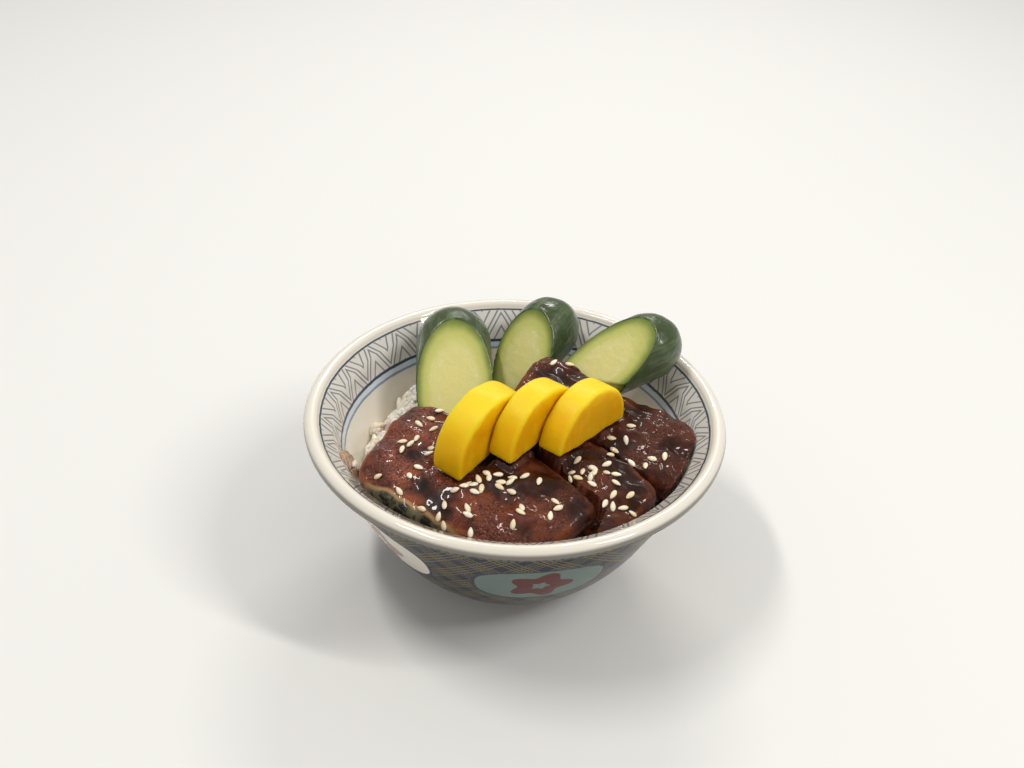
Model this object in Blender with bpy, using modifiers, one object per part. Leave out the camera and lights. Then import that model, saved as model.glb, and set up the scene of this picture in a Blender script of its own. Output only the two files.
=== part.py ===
"""Grilled eel on rice in a porcelain bowl.

Three strips of glazed eel overlap like roof tiles on a mound of rice. Three upright half moons of
yellow pickled radish stand across them, and three slant-cut cucumber ends lean on the back rim.
Units are metres, +Z is up, and the origin is the middle of the foot ring's underside.
The front, where the eel comes nearest to the rim, faces -Y.

The pieces are made from the top down. Each one keeps a gap below everything already in place.
"""

import math
import random

import bmesh
import bpy
from mathutils import Matrix, Vector, noise
from mathutils.bvhtree import BVHTree

MM = 0.001
GAP = 0.4 * MM
EEL_GAP = 1.1 * MM
RICE_GAP = 1.6 * MM
SHARP_ANGLE = math.radians(40)
MERGE = 0.01 * MM

# Bowl
RIM_RADIUS = 77.5 * MM
RIM_HEIGHT = 70.0 * MM
BEAD_RADIUS = 2.8 * MM
NECK_RADIUS = 71.0 * MM
NECK_HEIGHT = 63.5 * MM
WALL = 4.0 * MM
FOOT_RADIUS = 31.5 * MM
FOOT_TOP_RADIUS = 33.0 * MM
FOOT_HEIGHT = 6.0 * MM
FOOT_RING_WIDTH = 3.5 * MM
FOOT_RECESS = 4.5 * MM
BELLY_POWER = 0.56
BELLY_SPACING = 1.8
BELLY_POINTS = 8
WALL_POINTS = 9
BEAD_POINTS = 7
LIP_SPREAD = 1.2
TURN_STEPS = 44

# Rice
RICE_EDGE_HEIGHT = 42.5 * MM
RICE_WALL_HEIGHT = 35.0 * MM
RICE_COVERED_HEIGHT = 62.0 * MM
RICE_DOME = 22.0 * MM
RICE_CREST = Vector((8 * MM, 10 * MM))
RICE_MOUND_WIDTH = 32.0 * MM
RICE_LUMP = 5.0 * MM
RICE_LUMP_DEPTH = 1.1 * MM
RICE_REACH = 8.0 * MM
RICE_RINGS = 9
GRAIN_COUNT = 46
GRAIN_LENGTH = 6.4 * MM
GRAIN_WIDTH = 3.0 * MM
GRAIN_SPREAD = (((-50, 6), (9, 14)), ((-38, 34), (10, 8)), ((10, 52), (30, 6)), ((50, -30), (8, 14)))

# Eel
EEL_THICKNESS = 7.4 * MM
EEL_LIFT = 2.5 * MM
EEL_EDGE_ROUNDING = 1.8 * MM
EEL_REACH = 4.0 * MM
EEL_LENGTH_STEPS = 14
EEL_WIDTH_STEPS = 9
WALL_MARGIN = 5.0 * MM
SEED_LENGTH = 3.7 * MM
SEED_WIDTH = 2.1 * MM
SEED_DEPTH = 1.3 * MM
SEEDS_LEFT = (
    ((-10, -37), (5, 4)),
    ((-8, -38), (4, 4)),
    ((4, -40), (5, 5)),
    ((9, -50), (6, 4)),
    ((-17, -43), (4, 4)),
    ((-33, -17), (5, 6)),
    ((-32, -5), (5, 5)),
    ((-38, -35), (4, 6)),
    ((-18, -52), (10, 5)),
)
SEEDS_MIDDLE = (((30, -27), (6, 4)), ((30, -31), (6, 4)), ((34, -43), (4, 4)), ((23, -30), (3, 3)))
SEEDS_RIGHT = (((41, -9), (4, 5)), ((49, -19), (5, 5)), ((15, 28), (5, 4)))
SEEDS = {"eel_left": (44, SEEDS_LEFT), "eel_middle": (20, SEEDS_MIDDLE), "eel_right": (11, SEEDS_RIGHT)}

# Pickled radish
RADISH_EDGE = 0.9 * MM
RADISH_CORNER = 2.6 * MM
RADISH_STEPS = 28
RADISH_TURN = math.radians(51)

# Cucumber
CUCUMBER_STEPS = 24
CUCUMBER_DOME = 1.08
CUCUMBER_FOOT = 52.0 * MM


def clear_scene():
    """Removes every object of the startup scene."""
    for obj in list(bpy.data.objects):
        bpy.data.objects.remove(obj)


def new_collection(name):
    """A collection under the scene's own."""
    made = bpy.data.collections.new(name)
    bpy.context.scene.collection.children.link(made)
    return made


def finish(name, colour, roughness):
    """A non-metallic Principled material."""
    made = bpy.data.materials.new(name)
    made.use_nodes = True
    shader = made.node_tree.nodes["Principled BSDF"]
    shader.inputs["Base Color"].default_value = (*colour, 1.0)
    shader.inputs["Roughness"].default_value = roughness
    shader.inputs["Metallic"].default_value = 0.0
    return made


def shaded(obj, material):
    """Gives the object its material, and smooth faces between sharp edges."""
    obj.data.materials.clear()
    obj.data.materials.append(material)
    obj.data.shade_smooth()
    obj.data.set_sharp_from_angle(angle=SHARP_ANGLE)
    return obj


def add_object(name, mesh, collection):
    """A named object in a collection."""
    obj = bpy.data.objects.new(name, mesh)
    collection.objects.link(obj)
    return obj


def applied(obj):
    """Replaces the object's mesh by the one that its modifiers give."""
    graph = bpy.context.evaluated_depsgraph_get()
    graph.update()
    mesh = bpy.data.meshes.new_from_object(obj.evaluated_get(graph))
    obj.modifiers.clear()
    obj.data = mesh
    return obj


def softened(obj, width):
    """Rounds the object's sharp edges."""
    edge = obj.modifiers.new("soft edge", "BEVEL")
    edge.width = width
    edge.segments = 2
    edge.limit_method = "ANGLE"
    edge.angle_limit = math.radians(50)
    return applied(obj)


def sliced(bm, point, normal):
    """Cuts away what lies on the normal's side of a plane, and closes the cut with a flat face."""
    everything = list(bm.verts) + list(bm.edges) + list(bm.faces)
    cut = bmesh.ops.bisect_plane(
        bm, geom=everything, dist=MERGE, plane_co=point, plane_no=normal, clear_outer=True
    )
    edges = [item for item in cut["geom_cut"] if isinstance(item, bmesh.types.BMEdge)]
    if edges:
        bmesh.ops.edgeloop_fill(bm, edges=edges)
    bmesh.ops.remove_doubles(bm, verts=bm.verts, dist=MERGE)


def turned(name, profile, steps, collection, material):
    """A solid of revolution about Z. Its profile runs up the inside, over the top and down the outside."""
    mesh = bpy.data.meshes.new(name)
    points = [(radius, 0.0, height) for radius, height in profile]
    mesh.from_pydata(points, [(i, i + 1) for i in range(len(points) - 1)], [])
    obj = add_object(name, mesh, collection)
    screw = obj.modifiers.new("turn", "SCREW")
    screw.axis = "Z"
    screw.angle = math.tau
    screw.steps = steps
    screw.render_steps = steps
    screw.use_merge_vertices = True
    screw.merge_threshold = MERGE
    return shaded(applied(obj), material)


# The bowl


def belly_radius(height):
    """The bowl's outer radius between its foot and its neck."""
    share = (height - FOOT_HEIGHT) / (NECK_HEIGHT - FOOT_HEIGHT)
    return FOOT_TOP_RADIUS + (NECK_RADIUS - FOOT_TOP_RADIUS) * max(0.0, share) ** BELLY_POWER


def belly_points(count):
    """Points up the bowl's outer wall, closer together low down, where it curves most."""
    points = []
    for i in range(count):
        height = FOOT_HEIGHT + (NECK_HEIGHT - FOOT_HEIGHT) * (i / (count - 1)) ** BELLY_SPACING
        points.append(Vector((belly_radius(height), height)))
    return points


def inner_points(count, inset):
    """The outer wall moved inwards, square to itself, from the floor up."""
    outer = belly_points(count)
    moved = []
    for i, point in enumerate(outer):
        along = outer[min(i + 1, count - 1)] - outer[max(i - 1, 0)]
        if i == 0:
            along = Vector((1.0, 0.0))
        along.normalize()
        moved.append(point + Vector((-along.y, along.x)) * inset)
    return moved


def radius_inside(height, inset):
    """The radius of the moved wall at a height, up to the rim."""
    wall = inner_points(WALL_POINTS, inset)
    for low, high in zip(wall, wall[1:]):
        if low.y <= height <= high.y:
            return low.x + (high.x - low.x) * (height - low.y) / (high.y - low.y)
    return wall[-1].x + LIP_SPREAD * (height - wall[-1].y) if height > wall[-1].y else 0.0


def bead_points(count):
    """The rolled rim, from its inner side over the top to its underside."""
    centre = Vector((RIM_RADIUS - BEAD_RADIUS, RIM_HEIGHT - BEAD_RADIUS))
    start, end = math.radians(165), math.radians(-95)
    points = []
    for i in range(count):
        angle = start + (end - start) * i / (count - 1)
        points.append(centre + Vector((math.cos(angle), math.sin(angle))) * BEAD_RADIUS)
    return points


def make_bowl(collection, material):
    """A thrown bowl: foot ring, rounded belly, flared neck and rolled rim, in one solid."""
    inner = inner_points(WALL_POINTS, WALL)
    outer = belly_points(BELLY_POINTS)
    recess_radius = FOOT_RADIUS - FOOT_RING_WIDTH
    profile = [(0.0, inner[0].y)]
    profile += [tuple(point) for point in inner + bead_points(BEAD_POINTS) + outer[::-1]]
    profile += [
        (FOOT_RADIUS, 0.0),
        (recess_radius, 0.0),
        (recess_radius - 1.0 * MM, FOOT_RECESS),
        (0.0, FOOT_RECESS),
    ]
    return turned("bowl", profile, TURN_STEPS, collection, material)


# Keeping clear of what is already in place

REACH_RINGS = 3
REACH_DIRECTIONS = 8


class Placed:
    """The pieces in place so far."""

    def __init__(self):
        self.trees = []

    def add(self, obj):
        mesh = obj.data
        points = [obj.matrix_world @ vertex.co for vertex in mesh.vertices]
        faces = [tuple(polygon.vertices) for polygon in mesh.polygons]
        self.trees.append(BVHTree.FromPolygons(points, faces))
        return obj

    def ceiling(self, x, y, reach):
        """The lowest underside above a place and above the places within reach round it."""
        starts = [Vector((x, y, 0.0))]
        for ring in range(1, REACH_RINGS + 1):
            for i in range(REACH_DIRECTIONS):
                angle = math.tau * i / REACH_DIRECTIONS
                out = reach * ring / REACH_RINGS
                starts.append(Vector((x + out * math.cos(angle), y + out * math.sin(angle), 0.0)))
        lowest = math.inf
        for start in starts:
            for tree in self.trees:
                hit = tree.ray_cast(start, Vector((0, 0, 1)))[0]
                lowest = min(lowest, hit.z) if hit else lowest
        return lowest

    def distance(self, point):
        """How far a point is from the nearest piece."""
        return min((tree.find_nearest(point)[3] for tree in self.trees), default=math.inf)


def pressed_below(points, placed, reach, gap):
    """Lowers points until they keep the gap below the pieces above them, and keeps them off the wall."""
    for point in points:
        point.z = min(point.z, placed.ceiling(point.x, point.y, reach) - gap)
        out = max(GAP, math.hypot(point.x, point.y))
        squeezed = min(1.0, radius_inside(point.z, WALL + GAP) / out)
        point.x *= squeezed
        point.y *= squeezed


# Radish

RADISHES = (
    ("radish_left", (-18.2, -38.3, 64.5), 20.6, 12.3, 11),
    ("radish_middle", (-1.0, -34.0, 70.0), 19.2, 10.0, 4),
    ("radish_right", (16.0, -30.2, 71.0), 19.2, 10.0, -5),
)


def make_radish(name, near_end, radius, width, rise, collection, material):
    """An upright half moon of pickled radish.

    near_end is the end of its straight edge nearest to the viewer, on the face that looks to the
    front right. rise is the slope of the straight edge away from there, in degrees. The far end of
    the straight edge is rounded off.
    """
    bm = bmesh.new()
    bmesh.ops.create_cone(
        bm,
        cap_ends=True,
        segments=RADISH_STEPS,
        radius1=radius * MM,
        radius2=radius * MM,
        depth=width * MM,
        matrix=Matrix.Rotation(math.radians(90), 4, "X"),
    )
    sliced(bm, (0, 0, 0), (0, 0, -1))
    bmesh.ops.translate(bm, verts=bm.verts, vec=(radius * MM, width * MM / 2, 0.0))
    farthest = max(vertex.co.x for vertex in bm.verts) - MERGE
    low_end = {v for v in bm.verts if v.co.x > farthest and v.co.z < MERGE}
    corner = [edge for edge in bm.edges if low_end.issuperset(edge.verts)]
    bmesh.ops.bevel(bm, geom=corner, offset=RADISH_CORNER, segments=3, profile=0.5, affect="EDGES")
    bm.transform(Matrix.Rotation(-math.radians(rise), 4, "Y"))
    bm.transform(Matrix.Rotation(RADISH_TURN, 4, "Z"))
    bmesh.ops.translate(bm, verts=bm.verts, vec=Vector(near_end) * MM)
    mesh = bpy.data.meshes.new(name)
    bm.to_mesh(mesh)
    bm.free()
    return shaded(softened(add_object(name, mesh, collection), RADISH_EDGE), material)


# Cucumber


class CucumberEnd:
    """A cucumber's rounded end, cut at a slant: sizes in millimetres and angles in degrees.

    centre is where the axis meets the slanted cut. turn and rise are the axis's direction seen from
    above and its slope, roll turns the cut about the axis and slant is the angle between the two.
    tip is how far the cucumber runs straight beyond centre. behind is a point and a direction of the
    upright cut, hidden behind the eel, that ends the piece at the front.
    """

    def __init__(self, name, centre, radius, turn, rise, roll, slant, tip, behind):
        self.name = name
        self.centre = Vector(centre) * MM
        self.radius = radius * MM
        self.turn, self.rise, self.roll = (math.radians(angle) for angle in (turn, rise, roll))
        self.slant = math.radians(slant)
        self.tip = tip * MM
        self.behind = behind

    def placing(self):
        """From the cucumber's own axis, which is +X, to its place in the bowl."""
        turn = Matrix.Rotation(self.turn, 4, "Z") @ Matrix.Rotation(-self.rise, 4, "Y")
        return Matrix.Translation(self.centre) @ turn @ Matrix.Rotation(self.roll, 4, "X")


CUCUMBERS = (
    CucumberEnd("cucumber_left", (-23.8, 19.7, 64.2), 15.0, 95, 13, 1, 34.6, 21, ((-30, 11.5), (0, -1))),
    CucumberEnd("cucumber_middle", (1.6, 38.1, 65.2), 13.0, 56.6, 16.6, -8, 37.7, 18, ((0, 24), (0, -1))),
    CucumberEnd("cucumber_right", (31.4, 24.6, 72.4), 13.2, 23, 16, 17, 28, 20, ((33, 19.4), (-0.52, -0.85))),
)


def make_cucumber(end, collection, material):
    """A round-ended bar, cut at a slant above, level below and upright in front."""
    bm = bmesh.new()
    bmesh.ops.create_uvsphere(bm, u_segments=CUCUMBER_STEPS, v_segments=12, radius=end.radius)
    bmesh.ops.scale(bm, verts=bm.verts, vec=(1.0, 1.0, CUCUMBER_DOME))
    waist = [vertex for vertex in bm.verts if vertex.co.z < 0.1 * MM]
    bmesh.ops.translate(bm, verts=waist, vec=(0, 0, -end.tip - 5 * end.radius))
    bmesh.ops.translate(bm, verts=bm.verts, vec=(0, 0, end.tip))
    bm.transform(Matrix.Rotation(math.radians(90), 4, "Y"))
    bm.transform(end.placing())
    cut = end.placing().to_3x3() @ Vector((-math.sin(end.slant), 0.0, math.cos(end.slant)))
    sliced(bm, end.centre, cut)
    (x, y), (across, along) = end.behind
    sliced(bm, (x * MM, y * MM, 0.0), (across, along, 0.0))
    sliced(bm, (0.0, 0.0, CUCUMBER_FOOT), (0.0, 0.0, -1.0))
    mesh = bpy.data.meshes.new(end.name)
    bm.to_mesh(mesh)
    bm.free()
    return shaded(add_object(end.name, mesh, collection), material)


# Eel


class EelStrip:
    """A strip of eel. The corners of its top are given in order round it, in millimetres.

    far_left to far_right is the long edge away from the viewer. arch lifts the middle of the strip
    along its length, most at the far edge, crown lifts it across its width, and bulge moves the
    middle of the near edge outwards.
    """

    def __init__(self, name, far_left, far_right, near_right, near_left, arch, crown, bulge, phase):
        self.name = name
        self.corners = [Vector(c) * MM for c in (far_left, far_right, near_right, near_left)]
        self.arch = arch * MM
        self.crown = crown * MM
        self.bulge = bulge * MM
        self.phase = phase

    def point(self, u, v):
        """The top surface at u along the strip and v across it, both from -1 to 1."""
        rounding = 0.12
        s = 0.5 + 0.5 * u * math.sqrt(1 - rounding * v**4)
        t = 0.5 + 0.5 * v * math.sqrt(1 - rounding * u**4)
        far_left, far_right, near_right, near_left = self.corners
        far = far_left.lerp(far_right, s)
        near = near_left.lerp(near_right, s)
        place = near.lerp(far, t)
        across = (far - near).normalized()
        place += across * 0.8 * MM * math.sin(9 * s + self.phase) * abs(v) ** 3
        place -= across * self.bulge * (1 - u * u) * (1 - t)
        place.z += self.arch * (1 - u * u) * (0.7 + 0.3 * v) + self.crown * (1 - v * v)
        place.z += self.relief(u, v)
        return place

    def relief(self, u, v):
        """The flesh: plump flakes with furrows between them, and edges that turn down."""
        furrow = -0.8 * MM * math.exp(-(((v - 0.12 * math.sin(4 * u + self.phase)) / 0.17) ** 2))
        spot = Vector((3.1 * u + self.phase, 2.2 * v, self.phase))
        flakes = 1.5 * MM * noise.noise(spot) + 0.9 * MM * noise.noise(2.3 * spot)
        drop = -1.3 * MM * (abs(v) ** 6 + abs(u) ** 9)
        return furrow + flakes + drop


EEL_STRIPS = (
    EelStrip("eel_left", (-37, 11, 65), (32, -44, 64.5), (11, -66, 57.5), (-58, -29, 59), 4, 3, 6, 2.9),
    EelStrip("eel_middle", (-13, 9, 70), (54, -31, 63), (36, -57, 57), (-25, -11, 62), 3, 2, 2, 1.7),
    EelStrip("eel_right", (10, 32, 76.2), (71, -4, 68), (59, -31.5, 60), (-7, 2, 67), -2, 2, 0, 0.4),
)


def kept_inside(obj):
    """Squeezes a piece's outer margin in towards the bowl's axis, so that it clears the wall."""
    for vertex in obj.data.vertices:
        reach = math.hypot(vertex.co.x, vertex.co.y)
        margin = radius_inside(vertex.co.z, WALL + GAP) - WALL_MARGIN
        if reach > margin:
            squeezed = margin + WALL_MARGIN * math.tanh((reach - margin) / WALL_MARGIN)
            vertex.co.x *= squeezed / reach
            vertex.co.y *= squeezed / reach


def make_eel(strip, placed, collection, material):
    """A curved sheet that fits under what lies on it, given its thickness, soft edges and seeds."""
    bm = bmesh.new()
    bmesh.ops.create_grid(bm, x_segments=EEL_LENGTH_STEPS, y_segments=EEL_WIDTH_STEPS, size=1.0)
    for vertex in bm.verts:
        place = strip.point(vertex.co.x, vertex.co.y)
        if placed.ceiling(place.x, place.y, 0.0) < math.inf:
            place.z += EEL_LIFT
        place.z = min(place.z, placed.ceiling(place.x, place.y, EEL_REACH) - EEL_GAP)
        vertex.co = place
    flesh = bmesh.ops.extrude_face_region(bm, geom=list(bm.faces))["geom"]
    top = [item for item in flesh if isinstance(item, bmesh.types.BMVert)]
    bmesh.ops.translate(bm, verts=[v for v in bm.verts if v not in top], vec=(0, 0, -EEL_THICKNESS))
    bmesh.ops.recalc_face_normals(bm, faces=bm.faces)
    mesh = bpy.data.meshes.new(strip.name)
    bm.to_mesh(mesh)
    bm.free()
    obj = add_object(strip.name, mesh, collection)
    kept_inside(obj)
    shaded(softened(obj, EEL_EDGE_ROUNDING), material)
    count, spread = SEEDS[strip.name]
    size = (SEED_LENGTH, SEED_WIDTH, SEED_DEPTH)
    return bits_fused(obj, bits_on(obj, placed, count, size, (5, 3), spread, 11))


def scrap_dropped(obj):
    """Keeps only the piece's largest connected body."""
    bm = bmesh.new()
    bm.from_mesh(obj.data)
    left = set(bm.verts)
    bodies = []
    while left:
        body, front = set(), [left.pop()]
        while front:
            vertex = front.pop()
            body.add(vertex)
            linked = [edge.other_vert(vertex) for edge in vertex.link_edges]
            fresh = [other for other in linked if other in left]
            left.difference_update(fresh)
            front += fresh
        bodies.append(body)
    bodies.sort(key=len)
    for body in bodies[:-1]:
        bmesh.ops.delete(bm, geom=list(body), context="VERTS")
    bm.to_mesh(obj.data)
    bm.free()
    return obj


def bits_fused(obj, bits):
    """Joins small loose shapes to a piece, and removes them."""
    helper = new_collection("bits")
    for bit in bits:
        helper.objects.link(bit)
    union = obj.modifiers.new("union", "BOOLEAN")
    union.operation = "UNION"
    union.operand_type = "COLLECTION"
    union.collection = helper
    union.solver = "MANIFOLD"
    applied(obj)
    for bit in bits:
        bpy.data.objects.remove(bit)
    bpy.data.collections.remove(helper)
    return scrap_dropped(obj)


def small_round(name, size, segments, rings, place, turn, tilt):
    """A long rounded shape with few sides, such as a grain or a seed."""
    bm = bmesh.new()
    bmesh.ops.create_uvsphere(bm, u_segments=segments, v_segments=rings, radius=0.5)
    bm.transform(Matrix.Rotation(math.radians(90), 4, "Y"))
    bmesh.ops.scale(bm, verts=bm.verts, vec=size)
    bm.transform(Matrix.Rotation(turn, 4, "Z") @ Matrix.Rotation(tilt, 4, "Y"))
    bmesh.ops.translate(bm, verts=bm.verts, vec=place)
    mesh = bpy.data.meshes.new(name)
    bm.to_mesh(mesh)
    bm.free()
    return bpy.data.objects.new(name, mesh)


def bits_on(obj, placed, count, size, sides, spread, seed):
    """Small shapes lying in the open on a piece's top, clear of the other pieces and of the bowl.

    spread gives the middle and the deviation, in x and y, of each group of bits.
    """
    rng = random.Random(seed)
    tree = BVHTree.FromObject(obj, bpy.context.evaluated_depsgraph_get())
    length, _, height = size
    bits, spots = [], []
    for attempt in range(count * 40):
        middle, deviation = spread[attempt % len(spread)]
        x = rng.gauss(middle[0], deviation[0]) * MM
        y = rng.gauss(middle[1], deviation[1]) * MM
        turn, tilt = rng.uniform(0, math.pi), rng.uniform(-0.25, 0.25)
        hit = tree.ray_cast(Vector((x, y, 0.2)), Vector((0, 0, -1)))[0]
        if not hit or placed.ceiling(x, y, 0.5 * length) < math.inf:
            continue
        place = hit + Vector((0, 0, 0.3 * height))
        room = radius_inside(hit.z - 0.5 * height, WALL + GAP) - math.hypot(x, y)
        near = min(((place - spot).length for spot in spots), default=math.inf)
        if placed.distance(place) < 0.5 * length + GAP or room < 0.55 * length or near < 0.72 * length:
            continue
        spots.append(place)
        bits.append(small_round(f"bit_{len(bits)}", size, *sides, place, turn, tilt))
        if len(bits) == count:
            break
    return bits


# Rice


def rice_share(x, y):
    """How far out a place on the rice lies, from 0 in the middle to 1 at the bowl's wall."""
    return min(1.0, math.hypot(x, y) / radius_inside(RICE_EDGE_HEIGHT, WALL + GAP))


def covered_height(x, y):
    """How high the rice reaches under the other pieces, before they press it down."""
    return RICE_EDGE_HEIGHT + (RICE_COVERED_HEIGHT - RICE_EDGE_HEIGHT) * (1 - rice_share(x, y) ** 6)


def rice_height(x, y):
    """The top of the rice: a mound whose crest lies a little behind the middle."""
    share = rice_share(x, y)
    away = (Vector((x, y)) - RICE_CREST).length
    mound = 0.35 * (1 - share**2) + 0.65 * math.exp(-((away / RICE_MOUND_WIDTH) ** 2)) * (1 - share**6)
    lumps = RICE_LUMP_DEPTH * noise.noise(Vector((x, y, 0.0)) / RICE_LUMP) * (1 - share**8)
    return RICE_EDGE_HEIGHT + RICE_DOME * mound + lumps


def make_rice(placed, collection, material):
    """The rice's core: it fills the bowl up to a domed, lumpy top."""
    edge = radius_inside(RICE_EDGE_HEIGHT, WALL + GAP)
    wall = [p for p in inner_points(WALL_POINTS, WALL + GAP) if p.y < RICE_WALL_HEIGHT]
    profile = [(edge * i / RICE_RINGS, RICE_EDGE_HEIGHT) for i in range(RICE_RINGS + 1)]
    profile += [tuple(point) for point in wall[::-1]]
    profile.append((0.0, wall[0].y))
    rice = turned("rice", profile, TURN_STEPS, collection, material)
    top = [v for v in rice.data.vertices if v.co.z > RICE_EDGE_HEIGHT - 0.01 * MM]
    for vertex in top:
        x, y, _ = vertex.co
        covered = placed.ceiling(x, y, 0.0) < math.inf
        vertex.co.z = covered_height(x, y) if covered else rice_height(x, y)
    for _ in range(3):
        pressed_below([vertex.co for vertex in top], placed, RICE_REACH, RICE_GAP)
    size = (GRAIN_LENGTH, GRAIN_WIDTH, GRAIN_WIDTH)
    grains = bits_on(rice, placed, GRAIN_COUNT, size, (5, 4), GRAIN_SPREAD, 5)
    return bits_fused(rice, grains)


def main():
    clear_scene()
    parts = new_collection("grilled_eel_on_rice")
    porcelain = finish("porcelain", (0.86, 0.85, 0.80), 0.18)
    rice_finish = finish("cooked_rice", (0.90, 0.88, 0.80), 0.45)
    eel_finish = finish("glazed_eel", (0.20, 0.06, 0.025), 0.22)
    radish_finish = finish("yellow_pickle", (0.92, 0.66, 0.02), 0.35)
    cucumber_finish = finish("cucumber", (0.62, 0.68, 0.34), 0.35)

    make_bowl(parts, porcelain)
    placed = Placed()
    for name, near_end, radius, width, rise in RADISHES:
        placed.add(make_radish(name, near_end, radius, width, rise, parts, radish_finish))
    for strip in EEL_STRIPS:
        placed.add(make_eel(strip, placed, parts, eel_finish))
    for end in CUCUMBERS:
        placed.add(make_cucumber(end, parts, cucumber_finish))
    make_rice(placed, parts, rice_finish)


main()
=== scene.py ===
# %% [markdown]
# # Grilled eel on rice
# A porcelain bowl holds a mound of rice, three strips of glazed eel, three half moons of pickled
# radish and three slant-cut cucumber ends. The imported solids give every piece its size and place.
# Here each one is modelled again in full, and then painted with nodes.

import math
import random

import bpy
import numpy as np
from mathutils import Matrix, Vector, noise
from mathutils.bvhtree import BVHTree


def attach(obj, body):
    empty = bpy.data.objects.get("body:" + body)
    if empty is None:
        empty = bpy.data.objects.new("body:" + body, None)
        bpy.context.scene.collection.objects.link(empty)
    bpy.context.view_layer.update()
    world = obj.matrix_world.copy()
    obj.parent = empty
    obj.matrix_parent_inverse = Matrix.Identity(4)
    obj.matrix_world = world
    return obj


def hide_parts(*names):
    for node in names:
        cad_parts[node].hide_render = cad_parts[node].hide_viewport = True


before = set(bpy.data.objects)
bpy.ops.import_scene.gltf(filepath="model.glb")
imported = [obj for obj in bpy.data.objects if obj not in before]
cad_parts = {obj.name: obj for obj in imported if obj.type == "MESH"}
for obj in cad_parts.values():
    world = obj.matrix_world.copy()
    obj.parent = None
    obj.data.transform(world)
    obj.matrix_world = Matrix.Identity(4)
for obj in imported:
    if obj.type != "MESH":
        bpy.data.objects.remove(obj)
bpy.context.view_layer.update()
MM = 0.001
print("solids:", ", ".join(sorted(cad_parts)))

# %% [markdown]
# ## Working with operators
# Blender's operators act on whatever is selected, so each piece starts with nothing selected.
# The words below cut, name and finish a piece, and read or move all of its vertices at once.


# %% Helpers for modelling
def nothing_selected():
    """Object mode, with no object selected."""
    if bpy.context.object and bpy.context.object.mode != "OBJECT":
        bpy.ops.object.mode_set(mode="OBJECT")
    bpy.ops.object.select_all(action="DESELECT")


def cut_away(point, normal):
    """Cuts off what lies on the normal's side of a plane and closes the cut."""
    bpy.ops.mesh.select_all(action="SELECT")
    bpy.ops.mesh.bisect(plane_co=point, plane_no=normal, use_fill=True, clear_outer=True)


def finished(obj, name, nodes, material, angle=40):
    """Names a piece, shades it smooth and puts it in place of its solids."""
    nothing_selected()
    obj.select_set(True)
    bpy.context.view_layer.objects.active = obj
    bpy.ops.object.transform_apply(location=True, rotation=True, scale=True)
    bpy.ops.object.shade_smooth_by_angle(angle=math.radians(angle))
    obj.name = obj.data.name = name
    obj.data.materials.clear()
    obj.data.materials.append(material)
    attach(obj, "root")
    if nodes:
        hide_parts(*nodes)
    print(name, len(obj.data.polygons), "faces")
    return obj


def with_modifier(obj, kind, **settings):
    """Adds a modifier and applies it."""
    modifier = obj.modifiers.new(kind.lower(), kind)
    for key, value in settings.items():
        setattr(modifier, key, value)
    nothing_selected()
    obj.select_set(True)
    bpy.context.view_layer.objects.active = obj
    bpy.ops.object.modifier_apply(modifier=modifier.name)
    return obj


def places_of(obj):
    """The places of an object's vertices, as rows of x, y and z."""
    places = np.empty(len(obj.data.vertices) * 3)
    obj.data.vertices.foreach_get("co", places)
    return places.reshape(-1, 3)


def move_all(obj, places):
    """Gives every vertex its new place."""
    obj.data.vertices.foreach_set("co", np.asarray(places, np.float32).ravel())
    obj.data.update()


def mark(obj, name, values):
    """Keeps a number for each vertex, which a material can read by name."""
    made = obj.data.attributes.new(name, "FLOAT", "POINT")
    made.data.foreach_set("value", np.asarray(values, np.float32))


# %% [markdown]
# ## Wiring materials
# A material is a small network of nodes. These few words make one node each and join it to what
# feeds it, so that a recipe can be read from top to bottom.


# %% Helpers for materials
def tint(red, green, blue):
    """A colour as a screen shows it, 0 to 255, made linear for the shader."""
    channels = [channel / 255 for channel in (red, green, blue)]
    return (*[((c + 0.055) / 1.055) ** 2.4 if c > 0.04 else c / 12.92 for c in channels], 1.0)


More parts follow.
